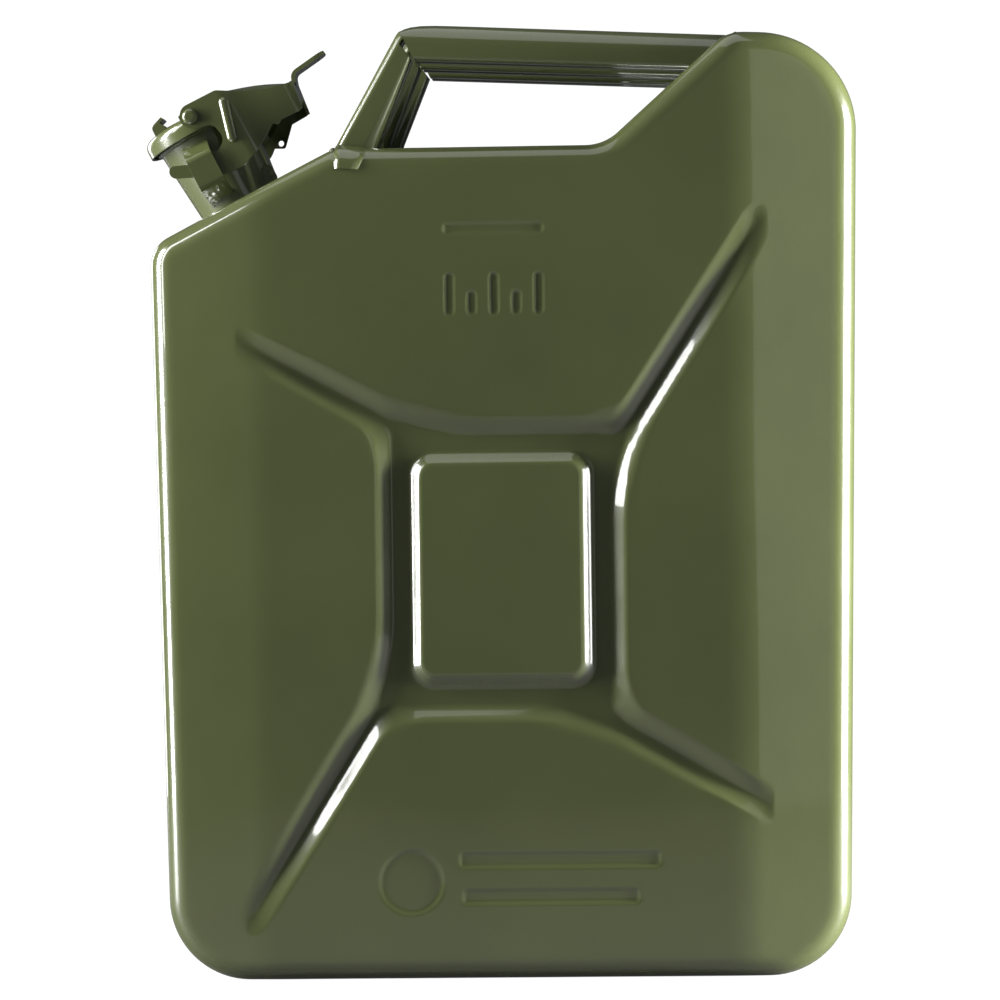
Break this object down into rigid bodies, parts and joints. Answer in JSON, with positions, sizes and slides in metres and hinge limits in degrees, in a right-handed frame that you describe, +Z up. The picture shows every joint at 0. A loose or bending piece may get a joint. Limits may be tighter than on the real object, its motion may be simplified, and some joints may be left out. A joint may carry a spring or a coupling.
{
  "type": "jerry can",
  "caption": "Pressed steel fuel can with a ribbed face, a triple carrying handle and a slanted neck closed by a hinged cap with a hooked cam lever.",
  "frame": {"origin": "on the floor, under the middle of the whole can", "axes": "+Z up, the neck leans towards -X, the broad pressed faces look towards -Y and +Y"},
  "size_m": [0.3578, 0.165, 0.4719],
  "materials": {
    "olive_paint": "gloss enamel",
    "bare_steel": "zinc plated, dull",
    "black_rubber": "matte"
  },
  "bodies": {
    "can": {"left_shell": "olive_paint", "right_shell": "olive_paint", "seam_weld": "olive_paint", "filler_neck": "olive_paint", "neck_weld": "olive_paint", "breather_tube": "olive_paint", "left_catch_loop": "olive_paint", "right_catch_loop": "olive_paint", "hinge_bracket": "olive_paint", "hinge_pin": "bare_steel", "seal_lug": "olive_paint", "left_handle": "olive_paint", "middle_handle": "olive_paint", "right_handle": "olive_paint", "handle_welds": "olive_paint"},
    "cap": {"cap_shell": "olive_paint", "cap_gasket": "black_rubber", "gasket_retainer": "bare_steel", "cap_rivet": "olive_paint", "cap_bracket": "olive_paint", "cap_hinge_lug": "olive_paint"},
    "lever": {"cam_lever": "olive_paint", "lever_rivets": "olive_paint"}
  },
  "joints": [
    {"name": "cap_hinge", "type": "hinge", "parent": "can", "child": "cap", "pos_m": [-0.11677, 0, 0.43493], "axis": [0, 1, 0], "range_deg": [0, 27]},
    {"name": "lever_pivot", "type": "hinge", "parent": "cap", "child": "lever", "pos_m": [-0.15332, 0, 0.42878], "axis": [0, -1, 0], "range_deg": [0, 135]}
  ],
  "couplings": [
    {"joint": "cap_hinge", "follows": "lever_pivot", "ratio": 0.2}
  ]
}
